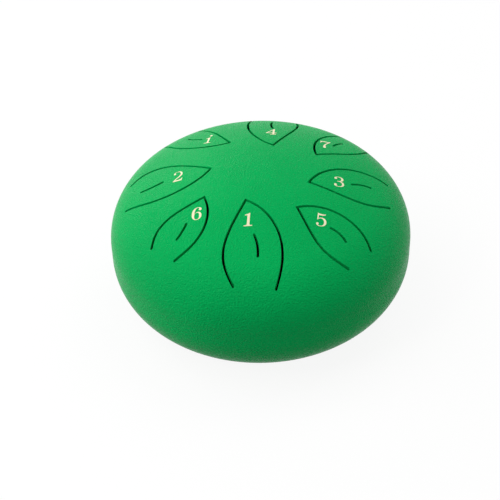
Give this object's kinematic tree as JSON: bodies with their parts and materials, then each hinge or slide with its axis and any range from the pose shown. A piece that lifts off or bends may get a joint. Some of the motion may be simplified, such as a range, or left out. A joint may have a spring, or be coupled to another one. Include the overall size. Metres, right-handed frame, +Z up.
{
  "type": "tongue drum",
  "caption": "Small steel tongue drum: domed shell with leaf-shaped tongues and tuning slits, flat-based lower shell with a sound port, on rubber feet.",
  "frame": {"origin": "on the drum's vertical axis, on the plane that the three rubber feet stand on", "axes": "+Z up along the drum's axis; -Y towards the player, who faces the tongue numbered 1"},
  "size_m": [0.155, 0.155, 0.0812],
  "materials": {
    "green_coat": "satin powder coat with a fine sand texture",
    "black_rubber": "matt",
    "zinc_steel": "bright zinc plate",
    "cream_numeral": "thin satin vinyl"
  },
  "bodies": {
    "root": {"upper_shell": "green_coat", "lower_shell": "green_coat", "seam_weld": "green_coat", "rubber_foot_1": "black_rubber", "rubber_foot_2": "black_rubber", "rubber_foot_3": "black_rubber", "foot_insert_washer_1": "zinc_steel", "foot_insert_washer_2": "zinc_steel", "foot_insert_washer_3": "zinc_steel", "foot_screw_1": "zinc_steel", "foot_screw_2": "zinc_steel", "foot_screw_3": "zinc_steel", "inner_washer_1": "zinc_steel", "inner_washer_2": "zinc_steel", "inner_washer_3": "zinc_steel", "foot_nut_1": "zinc_steel", "foot_nut_2": "zinc_steel", "foot_nut_3": "zinc_steel"}
  },
  "joints": []
}
